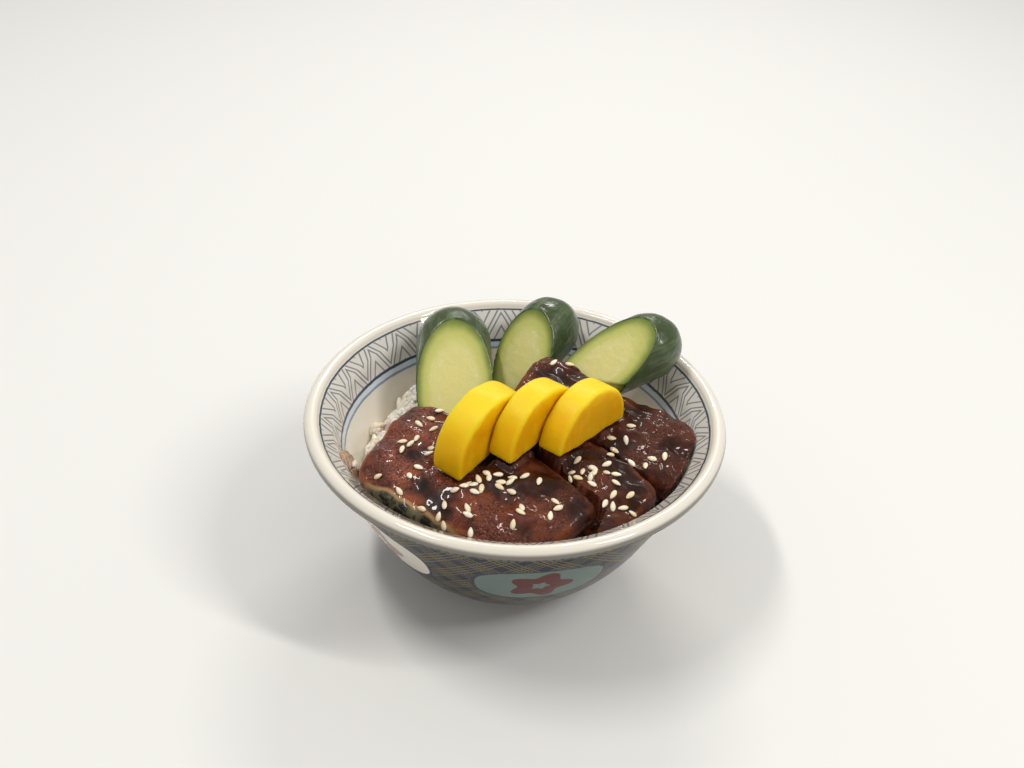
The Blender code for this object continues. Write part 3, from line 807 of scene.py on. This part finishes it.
# %% The colours of the eel
def glazed_top(wires, relief, blistered, edge):
    """Dark in the low places, red-brown on the ridges, paler on blisters and along an edge, with
    painted glints on the blisters.
    """
    high = wires.step(wires.uneven(relief, 420.0, 4.0, 0.9), -0.15, 0.80)
    colour = wires.mixed(high, tint(36, 15, 8), tint(134, 60, 38))
    crust = wires.times(blistered, wires.step(wires.grain(1100.0), 0.28, 0.60))
    colour = wires.painted(colour, crust, 0.55, tint(168, 88, 64))
    # Painted glints: small pale specks on the blisters stand in for light caught by their bubbles.
    bubble = wires.times(blistered, wires.step(wires.grain(1500.0, 2.0), 0.58, 0.68))
    colour = wires.painted(colour, bubble, 0.5, tint(214, 154, 128))
    warm = stripe_mask(wires, edge, 1.1, 1.8, 0.7)
    warm = wires.times(warm, wires.step(wires.grain(110.0), 0.40, 0.62))
    colour = wires.painted(colour, warm, 0.8, tint(172, 88, 40))
    patch = wires.step(wires.grain(75.0, 2.0), 0.56, 0.68)
    return wires.painted(colour, patch, 0.5, tint(164, 84, 42))


def near_wall(wires):
    """How far a place lies towards the front left, in millimetres, and a mask of that side."""
    x, y = wires.split(wires.place())[:2]
    out = wires.plus(wires.times(x, FRONT_LEFT[0]), wires.times(y, FRONT_LEFT[1]))
    out = wires.plus(wires.divided(out, MM), wires.times(wires.grain(120.0), 1.8))
    return wires.minus(out, 0.9), wires.step(wires.times(x, -1.0), 0.012, 0.020)


def cut_sides(wires, depth, colour):
    """Pale flesh and dark skin below the top, and along the wall at the front left."""
    side = wires.uneven(depth, 240.0, 3.0, 0.5)
    colour = wires.painted(colour, stripe_mask(wires, side, 0.45, 0.34, 0.1), 0.6, tint(84, 52, 38))
    colour = wires.mixed(wires.step(side, 0.62, 0.78), colour, tint(34, 30, 29))
    out, left_front = near_wall(wires)
    mottled = wires.step(wires.grain(330.0), 0.42, 0.60)
    skin = wires.mixed(mottled, tint(108, 100, 78), tint(38, 35, 27))
    past = wires.step(out, SKIN_FROM - 0.3, SKIN_FROM + 0.5)
    colour = wires.mixed(wires.times(left_front, past), colour, skin)
    pale = wires.times(stripe_mask(wires, out, SKIN_FROM, 1.2, 0.5), left_front)
    return wires.painted(colour, pale, 0.85, tint(176, 140, 94))


# %% Eel finish
FRONT_LEFT, SKIN_FROM = (-0.558, -0.830), 56.5


def eel_finish():
    """Grilled eel under a dark, sticky glaze, with a duller coat towards the right."""
    material, shader, wires = new_finish(
        "eel_glaze", Specular_IOR_Level=0.15, Coat_Weight=0.8, Coat_Roughness=0.03, Coat_IOR=1.38)
    names = ("relief", "depth", "blistered", "edge")
    relief, depth, blistered, edge = (wires.marked(name) for name in names)
    colour = glazed_top(wires, relief, blistered, edge)
    shade = wires.step(wires.split(wires.place())[0], -0.055, 0.035)
    colour = wires.painted(colour, shade, 0.68, tint(48, 20, 8))
    wires.join(cut_sides(wires, depth, colour), shader.inputs["Base Color"])
    wires.join(wires.minus(0.8, wires.times(shade, 0.4)), shader.inputs["Coat Weight"])
    wires.join(wires.plus(0.36, wires.times(blistered, 0.16)), shader.inputs["Roughness"])
    moisten(wires, shader, 800.0, wires.plus(0.04, wires.times(blistered, 0.30)))
    return material


eel_paint = eel_finish()
eels = {}
for strip in EEL_STRIPS:
    made = eel_strip(strip, trees)
    finished(made, strip[0] + "_strip", [strip[0]], eel_paint, angle=80)
    trees.append(tree_of(made))
    eels[strip[0]] = made

# %% [markdown]
# ## Sesame seeds
# One seed is a small ball drawn out to a point. It is modelled once, and every other seed is a
# copy of its mesh, turned and tilted to lie on the glaze. The seeds of each strip are one mesh.


# %% One bit and its copies
def small_ball(segments, rings, size, pointed):
    """The vertices and faces of a rounded bit along X, drawn out at its +X end if pointed."""
    nothing_selected()
    bpy.ops.mesh.primitive_uv_sphere_add(
        segments=segments, ring_count=rings, radius=0.5, rotation=(0, math.pi / 2, 0))
    obj = bpy.context.object
    bpy.ops.object.transform_apply(location=False, rotation=True, scale=False)
    places = places_of(obj)
    narrow = 1 - pointed * np.clip(places[:, 0] + 0.15, 0, 1) ** 1.5
    places[:, 1] *= narrow
    places[:, 2] *= narrow
    places *= np.array(size)
    faces = [polygon.vertices[:] for polygon in obj.data.polygons]
    bpy.data.objects.remove(obj)
    return places, faces


def copies(name, shape, placings, tones):
    """Every copy of a bit as one mesh, with a tone for each copy."""
    places, faces = shape
    all_places, all_faces, all_tones = [], [], []
    for placing, tone in zip(placings, tones):
        turned = np.array(placing)
        start = len(all_tones)
        all_places.append(places @ turned[:3, :3].T + turned[:3, 3])
        all_faces += [[start + i for i in face] for face in faces]
        all_tones += [tone] * len(places)
    mesh = bpy.data.meshes.new(name)
    mesh.from_pydata(np.concatenate(all_places).tolist(), [], all_faces)
    obj = bpy.data.objects.new(name, mesh)
    bpy.context.scene.collection.objects.link(obj)
    mark(obj, "tone", all_tones)
    return obj


def lying_on(hit, normal, turn, tilt, sunk):
    """The placing of a bit that lies on a surface, turned about its normal."""
    up = normal.to_track_quat("Z", "X").to_matrix().to_4x4()
    place = Matrix.Translation(hit + normal * sunk)
    return place @ up @ Matrix.Rotation(turn, 4, "Z") @ Matrix.Rotation(tilt, 4, "Y")


# %% [markdown]
# Each strip has a number of seeds and the groups in which they lie. A group is a middle and a
# spread, both in millimetres. A seed keeps its distance from other seeds and from the bowl's wall.

# %% Seeds on the strips
SEED_SIZE, SEED_SUNK = (3.7 * MM, 2.1 * MM, 1.3 * MM), 0.42 * MM
SEEDS_APART, SEED_ROOM = 1.9 * MM, 2.1 * MM
SEEDS = {
    "eel_left": (44, (
        ((-10, -37), (5, 4)), ((-10, -38), (4, 3)), ((-8, -38), (4, 4)), ((4, -40), (5, 5)),
        ((9, -50), (6, 4)), ((-17, -43), (4, 4)), ((-33, -17), (5, 6)), ((-32, -5), (5, 5)),
        ((-38, -35), (4, 6)), ((-18, -52), (10, 5)),
    )),
    "eel_middle": (20, (
        ((30, -27), (6, 4)), ((30, -31), (6, 4)), ((34, -43), (4, 4)), ((23, -30), (3, 3)),
    )),
    "eel_right": (11, (((41, -9), (4, 5)), ((49, -19), (5, 5)), ((15, 28), (5, 4)))),
}


def seeds_on(name, others):
    """Placings of seeds that lie in the open on one strip, in groups."""
    count, spread = SEEDS[name]
    rng = random.Random(11)
    tree = tree_of(eels[name])
    placings, spots = [], []
    for attempt in range(count * 40):
        middle, deviation = spread[attempt % len(spread)]
        x, y = (rng.gauss(middle[axis], deviation[axis]) * MM for axis in (0, 1))
        turn, tilt = rng.uniform(0, math.pi), rng.uniform(-0.25, 0.25)
        hit, normal, _, _ = tree.ray_cast(Vector((x, y, 0.2)), Vector((0, 0, -1)))
        if not hit or ceiling(others, x, y, 1.7 * MM) < math.inf:
            continue
        near = min(((hit - spot).length for spot in spots), default=math.inf)
        room = radius_inside(hit.z, WALL + GAP) - math.hypot(x, y)
        if near < SEEDS_APART or room < SEED_ROOM:
            continue
        spots.append(hit)
        placings.append(lying_on(hit, normal, turn + rng.choice((0, math.pi)), tilt, SEED_SUNK))
        if len(placings) == count:
            break
    return placings


def seed_finish():
    """Toasted sesame: cream, a little darker at random."""
    material, shader, wires = new_finish(
        "sesame", Roughness=0.4, Coat_Weight=0.3, Subsurface_Weight=0.1, Subsurface_Scale=0.001)
    colour = wires.mixed(wires.marked("tone"), tint(246, 228, 186), tint(255, 248, 226))
    brown = wires.step(wires.grain(900.0, 2.0), 0.55, 0.75)
    colour = wires.painted(colour, brown, 0.4, tint(214, 178, 122))
    wires.join(colour, shader.inputs["Base Color"])
    moisten(wires, shader, 1800.0, 0.1)
    return material


seed_paint = seed_finish()
seed_shape = small_ball(10, 8, SEED_SIZE, 0.75)
for number, name in enumerate(SEEDS):
    placings = seeds_on(name, trees[:3 + number])
    rng = random.Random(number)
    scattered = copies(name + "_seeds", seed_shape, placings, [rng.random() for _ in placings])
    finished(scattered, name + "_seeds", [], seed_paint, angle=80)
    print(name, "carries", len(placings), "seeds")

# %% [markdown]
# ## Cucumber ends
# Each is a cucumber's rounded end, cut at a long slant. A ball is drawn out into a bar, laid along
# its axis, and cut by three planes: the slanted face, a level foot, and an upright cut that the
# eel hides. Each vertex keeps how deep under the skin it lies, and that number paints the cut.

# %% Ends
CUCUMBERS = (
    ("cucumber_left", (-23.8, 19.7, 64.2), 15.0, 95, 13, 1, 34.6, 21, ((-30, 11.5), (0, -1))),
    ("cucumber_middle", (1.6, 38.1, 65.2), 13.0, 56.6, 16.6, -8, 37.7, 18, ((0, 24), (0, -1))),
    ("cucumber_right", (31.4, 24.6, 72.4), 13.2, 23, 16, 17, 28, 20, ((33, 19.4), (-0.52, -0.85))),
)
CUCUMBER_FOOT, DOME = 52 * MM, 1.08


def bar_places(places, tip, radius):
    """Draws a ball out into a bar with a rounded end, along +X."""
    moved = places.copy()
    moved[:, 2] *= DOME
    low = moved[:, 2] < 0.1 * MM
    moved[low, 2] -= tip + 5 * radius
    moved[:, 2] += tip
    return np.stack([moved[:, 2], moved[:, 1], -moved[:, 0]], axis=1)


def cucumber_end(centre, radius, turn, rise, roll, slant, tip, behind):
    """A round-ended bar cut at a slant above, level below and upright in front."""
    radius, tip = radius * MM, tip * MM
    turn, rise, roll, slant = (math.radians(angle) for angle in (turn, rise, roll, slant))
    placing = Matrix.Translation(Vector(centre) * MM) @ Matrix.Rotation(turn, 4, "Z")
    placing = placing @ Matrix.Rotation(-rise, 4, "Y") @ Matrix.Rotation(roll, 4, "X")
    nothing_selected()
    bpy.ops.mesh.primitive_uv_sphere_add(segments=72, ring_count=36, radius=radius)
    obj = bpy.context.object
    move_all(obj, [placing @ Vector(p) for p in bar_places(places_of(obj), tip, radius)])
    bpy.ops.object.mode_set(mode="EDIT")
    cut = placing.to_3x3() @ Vector((-math.sin(slant), 0.0, math.cos(slant)))
    cut_away(placing.translation, cut)
    cut_away((behind[0][0] * MM, behind[0][1] * MM, 0.0), (*behind[1], 0.0))
    cut_away((0.0, 0.0, CUCUMBER_FOOT), (0.0, 0.0, -1.0))
    bpy.ops.object.mode_set(mode="OBJECT")
    with_modifier(obj, "REMESH", mode="VOXEL", voxel_size=0.5 * MM)
    with_modifier(obj, "SMOOTH", factor=0.5, iterations=2)
    return obj, placing, cut, radius, tip


def inner_marks(obj, placing, cut, radius, tip):
    """Keeps each vertex's depth under the skin and its place along and round the cucumber."""
    local = placing.inverted()
    along, deep, ring, shifted = [], [], [], []
    for vertex in obj.data.vertices:
        spot = local @ vertex.co
        x, y, z = spot
        out = math.hypot(y, z)
        deep.append((radius - math.hypot(out, max(0.0, x - tip) / DOME)) / MM)
        ring.append(math.atan2(z, y) / math.tau)
        along.append(x / MM)
        wave = 0.25 * noise.noise(spot / (6 * MM)) + 0.10 * noise.noise(spot / (1.6 * MM))
        on_face = abs((vertex.co - placing.translation).dot(cut)) < 0.6 * MM
        swell = 0.06 * noise.noise(spot / (3 * MM)) if on_face else wave - 0.15
        shifted.append(vertex.co + vertex.normal * swell * MM)
    move_all(obj, shifted)
    for name, values in (("along", along), ("under_skin", deep), ("ring", ring)):
        mark(obj, name, values)


# %% [markdown]
# The skin is dark green with paler streaks and a waxy shine. Under it runs a thin bright green
# line, and then the flesh pales towards the middle, where the seeds lie in long drops.


# %% The colours of the cucumber
def stretched(wires, values, shares):
    """Several numbers as one place, each multiplied by its own share."""
    joined = wires.tree.nodes.new("ShaderNodeCombineXYZ")
    for value, share, socket in zip(values, shares, joined.inputs):
        wires.join(wires.times(value, share), socket)
    return joined.outputs[0]


def skin_colour(wires, streak):
    """Dark green with paler streaks."""
    skin = wires.mixed(wires.grain(160.0, 4.0), tint(34, 50, 20), tint(70, 90, 42))
    return wires.painted(skin, streak, 0.40, tint(126, 146, 100))


def flesh_colour(wires, deep, along, ring):
    """Green under the skin, paler towards the middle, with long drops for the seeds."""
    uneven = wires.uneven(deep, 140.0, 3.0, 1.6)
    flesh = wires.mixed(wires.step(uneven, 0.2, 3.6), tint(108, 130, 38), tint(204, 208, 116))
    flesh = wires.mixed(wires.step(uneven, 3.2, 7.0), flesh, tint(228, 224, 148))
    flesh = wires.mixed(wires.step(uneven, 7.0, 12.0), flesh, tint(232, 226, 146))
    drops = wires.tree.nodes.new("ShaderNodeTexVoronoi")
    drops.inputs["Scale"].default_value = 1.0
    wires.join(stretched(wires, (along, deep, ring), (0.16, 0.42, 6.0)), drops.inputs["Vector"])
    seed = stripe_mask(wires, drops.outputs["Distance"], 0.22, 0.12, 0.05)
    core = stripe_mask(wires, deep, 8.0, 6.0, 0.6)
    return wires.painted(flesh, wires.times(seed, core), 0.6, tint(234, 232, 178))


# %% Cucumber finish
def cucumber_finish():
    """Skin outside, flesh and seeds on the cuts, told apart by the depth under the skin."""
    material, shader, wires = new_finish(
        "cut_cucumber", Coat_Weight=0.4, Coat_Roughness=0.12,
        Subsurface_Weight=0.2, Subsurface_Scale=0.003)
    deep, along, ring = (wires.marked(name) for name in ("under_skin", "along", "ring"))
    lengthwise = stretched(wires, (along, ring), (0.02, 9.0))
    streak = wires.step(wires.grain(2.6, 3.0, lengthwise), 0.46, 0.68)
    skin, flesh = skin_colour(wires, streak), flesh_colour(wires, deep, along, ring)
    wires.join(wires.mixed(wires.step(deep, 0.35, 0.65), skin, flesh), shader.inputs["Base Color"])
    wires.join(wires.plus(0.34, wires.times(streak, 0.1)), shader.inputs["Roughness"])
    moisten(wires, shader, 650.0, 0.14)
    return material


cucumber_paint = cucumber_finish()
for name, *sizes in CUCUMBERS:
    end, placing, cut, radius, tip = cucumber_end(*sizes)
    inner_marks(end, placing, cut, radius, tip)
    finished(end, name + "_end", [name], cucumber_paint, angle=60)
    trees.append(tree_of(end))

# %% [markdown]
# ## Rice
# The heap has a core, which is a copy of the solid with its triangles merged. Over it lie real
# grains, each at its true size and each sunk a little into the heap. Grains go only where nothing
# lies close above, because a hidden grain would cost time and add nothing.


# %% The core
def rice_core():
    """A copy of the solid heap, merged and smoothed a little, just under its own surface."""
    nothing_selected()
    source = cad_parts["rice"]
    obj = bpy.data.objects.new("rice_core", source.data.copy())
    bpy.context.scene.collection.objects.link(obj)
    bpy.context.view_layer.objects.active = obj
    obj.select_set(True)
    bpy.ops.object.mode_set(mode="EDIT")
    bpy.ops.mesh.select_all(action="SELECT")
    bpy.ops.mesh.remove_doubles(threshold=0.00001)
    bpy.ops.mesh.normals_make_consistent(inside=False)
    bpy.ops.object.mode_set(mode="OBJECT")
    with_modifier(obj, "REMESH", mode="VOXEL", voxel_size=1.2 * MM)
    return with_modifier(obj, "SMOOTH", factor=0.5, iterations=3)


core = rice_core()
core_tree = tree_of(core)

# %% Grains
def on_wall(turn, height):
    """The place on the bowl's inner wall at an angle and a height, and the normal there."""
    radius, above = (radius_inside(h * MM, WALL) for h in (height, height + 1))
    out = Vector((math.cos(turn), math.sin(turn), 0.0))
    normal = (Vector((0.0, 0.0, (above - radius) / MM)) - out).normalized()
    return out * radius + Vector((0.0, 0.0, height * MM)), normal


GRAIN_SIZE, GRAIN_TRIES = (6.0 * MM, 2.7 * MM, 2.5 * MM), 4600
HEAP_RADIUS, LOWEST_GRAIN = 62 * MM, 44 * MM
STRAY_TURN, STRAY_HEIGHT = math.radians(192.8), 49.3


def scattered_grains(rng):
    """Placings of grains in the open on the core, with the ones at the wall laid along it."""
    placings = []
    for _ in range(GRAIN_TRIES):
        out, angle = HEAP_RADIUS * math.sqrt(rng.random()), rng.uniform(0, math.tau)
        x, y = out * math.cos(angle), out * math.sin(angle)
        hit, normal, _, _ = core_tree.ray_cast(Vector((x, y, 0.2)), Vector((0, 0, -1)))
        turn, tilt = rng.uniform(0, math.pi), rng.gauss(0, 0.35)
        if not hit or hit.z < LOWEST_GRAIN or normal.z < 0.2:
            continue
        if ceiling(trees, x, y, 2.4 * MM) < hit.z + 2.6 * MM:
            continue
        room = radius_inside(hit.z, WALL + GAP) - math.hypot(x, y)
        if room < 2.0 * MM:
            turn, tilt = angle + math.pi / 2 + rng.gauss(0, 0.3), 0.0
        if room < 1.2 * MM:
            continue
        placings.append(lying_on(hit, normal, turn, tilt, rng.uniform(0.2, 1.3) * MM))
    return placings


rng = random.Random(4)
placings = scattered_grains(rng)
stray_place, stray_normal = on_wall(STRAY_TURN, STRAY_HEIGHT)
placings.append(lying_on(stray_place, stray_normal, 1.2, 0.0, 1.3 * MM))
print(len(placings), "grains")


# %% [markdown]
# Cooked rice is white and lets light in, so it has subsurface light and a moist coat. Sauce has
# run into it beside the left strip, where the grains turn brown.


# %% Rice finish
STAINS = ((-49, 13, 6.5), (-54, 25, 2.5), (-55, -8, 6.0), (54, -24, 6.0))


def stained(wires):
    """A mask of the stains, each a middle and a size in millimetres with a ragged edge."""
    x, y = wires.split(wires.place())[:2]
    stain = 0.0
    for middle_x, middle_y, size in STAINS:
        away = wires.length(wires.minus(x, middle_x * MM), wires.minus(y, middle_y * MM))
        away = wires.plus(away, wires.times(wires.grain(230.0), 8 * MM))
        near = wires.minus(1.0, wires.step(away, size * MM * 0.6, size * MM * 1.5))
        stain = wires.maths("MAXIMUM", stain, near)
    return stain


def rice_finish():
    """Moist white rice with a sauce stain."""
    material, shader, wires = new_finish(
        "cooked_rice", Roughness=0.32, Coat_Weight=0.25, Coat_Roughness=0.2,
        Subsurface_Weight=0.3, Subsurface_Scale=0.0015, Subsurface_Radius=(1.0, 0.9, 0.75))
    white = wires.mixed(wires.marked("tone"), tint(240, 228, 202), tint(255, 252, 245))
    colour = wires.painted(white, stained(wires), 0.75, tint(150, 92, 44))
    wires.join(colour, shader.inputs["Base Color"])
    moisten(wires, shader, 1400.0, 0.02)
    return material


rice_paint = rice_finish()
mark(core, "tone", [0.4] * len(core.data.vertices))
finished(core, "rice_core", ["rice"], rice_paint, angle=80)
tones = [rng.random() for _ in placings]
grains = copies("rice_grains", small_ball(9, 7, GRAIN_SIZE, 0.1), placings, tones)
finished(grains, "rice_grains", [], rice_paint, angle=80)

# %% [markdown]
# ## A run of sauce
# A little sauce has run down the wall beside the left strip. It is a thin slab that follows a path
# on the wall. A point of the path is an angle, a height and half a width, and the edges sink in.


# %% Sauce
SAUCE_PATH = (
    (201.2, 62.5, 0.6), (199.5, 60.5, 2.2), (197.0, 58.0, 3.6), (194.8, 55.0, 5.0),
    (193.5, 52.0, 6.2), (193.0, 49.0, 7.0), (192.5, 46.5, 7.0), (192.5, 44.5, 1.0),
)
SAUCE_THICKNESS, SAUCE_SUNK = 0.5 * MM, 0.5 * MM


def sauce_run():
    """A slab along the path, as wide as the path says, whose rounded edges sink into the wall."""
    obj = slab(80, 36, 1)
    columns = list(zip(*SAUCE_PATH))
    steps = np.linspace(-1.0, 1.0, len(SAUCE_PATH))
    places = []
    for vertex in obj.data.vertices:
        u, v, w = vertex.co
        turn, height, half = (float(np.interp(u, steps, column)) for column in columns)
        half += 0.7 * noise.noise(Vector((4 * u, math.copysign(3, v), 0.0)))
        half_turn = math.degrees(half * MM / radius_inside(height * MM, WALL))
        place, normal = on_wall(math.radians(turn + v * half_turn), height)
        swell = 1.3 * math.sqrt((1 - v**4) * (1 - u**8)) - 0.3
        swell += 0.25 * noise.noise(place / (3 * MM))
        places.append(place + normal * (SAUCE_THICKNESS * swell * (1 + w) + w * SAUCE_SUNK))
    move_all(obj, places)
    return obj


def sauce_finish():
    """Thin sauce: amber where it is thin, brown where it pools."""
    material, shader, wires = new_finish(
        "thin_sauce", Roughness=0.15, Coat_Weight=0.8, Coat_Roughness=0.04)
    pool = wires.step(wires.grain(110.0, 2.0), 0.42, 0.60)
    wires.join(wires.mixed(pool, tint(198, 136, 78), tint(132, 68, 30)), shader.inputs["Base Color"])
    return material


finished(sauce_run(), "sauce_run", [], sauce_finish(), angle=89)

# %% [markdown]
# ## Floor, light and camera
# A pale floor lies under soft light from a pale sky. Two long, narrow lamps stand high at the
# right and the left, and a third one behind, so that the wet glaze shows bright streaks. The
# camera looks down from the front.

# %% The stage
nothing_selected()
bpy.ops.mesh.primitive_plane_add(size=6.0, location=(0, 0, 0))
floor = bpy.context.object
floor.name = "floor"
floor_paint, floor_shader, _ = new_finish("pale_floor", Roughness=0.9)
floor_shader.inputs["Base Color"].default_value = tint(238, 238, 236)
floor.data.materials.append(floor_paint)

world = bpy.data.worlds.new("pale_sky")
world.use_nodes = True
world.node_tree.nodes["Background"].inputs["Color"].default_value = (1.0, 0.985, 0.96, 1.0)
world.node_tree.nodes["Background"].inputs["Strength"].default_value = 0.41
bpy.context.scene.world = world
bpy.context.scene.view_settings.view_transform = "Standard"


def lamp(name, place, aim, size, power):
    """A rectangular lamp of warm light that faces a point."""
    light = bpy.data.lights.new(name, "AREA")
    light.shape = "RECTANGLE"
    light.size, light.size_y = size
    light.energy = power
    light.color = (1.0, 0.97, 0.93)
    obj = bpy.data.objects.new(name, light)
    bpy.context.scene.collection.objects.link(obj)
    obj.location = place
    obj.rotation_euler = (Vector(aim) - Vector(place)).to_track_quat("-Z", "Y").to_euler()


lamp("right_lamp", (0.68, -0.30, 0.95), (0, 0, 0.05), (0.06, 0.45), 5.0)
lamp("left_lamp", (-0.45, -0.05, 1.15), (0, 0, 0.05), (0.45, 0.07), 4.6)
lamp("streak_lamp", (0.10, 0.85, 0.80), (0, 0, 0.06), (0.40, 0.05), 3.4)

# %% [markdown]
# The focal length is counted in pixels of the picture and turned into millimetres by the sensor's
# width. The camera's three directions are made one by one: right, up and forward, with a slight
# roll.

# %% The camera
CAMERA_PLACE = (-1.81, -355.07, 333.87)
IMAGE_WIDTH, FOCAL_LENGTH, SENSOR = 1024, 1200.0, 36.0
ELEVATION, ROLL = math.radians(35.54), math.radians(2.81)
forward = Vector((0.0, math.cos(ELEVATION), -math.sin(ELEVATION)))
up = Vector((0.0, math.sin(ELEVATION), math.cos(ELEVATION)))
right = Vector((1.0, 0.0, 0.0))
camera_right = right * math.cos(ROLL) + up * math.sin(ROLL)
camera_up = up * math.cos(ROLL) - right * math.sin(ROLL)
camera_data = bpy.data.cameras.new("camera")
camera_data.sensor_width = SENSOR
camera_data.lens = SENSOR * FOCAL_LENGTH / IMAGE_WIDTH
camera = bpy.data.objects.new("camera", camera_data)
bpy.context.scene.collection.objects.link(camera)
turned = Matrix((camera_right, camera_up, -forward)).transposed().to_4x4()
camera.matrix_world = Matrix.Translation(Vector(CAMERA_PLACE) * MM) @ turned
bpy.context.scene.camera = camera
print("lens", round(camera_data.lens, 2), "mm")
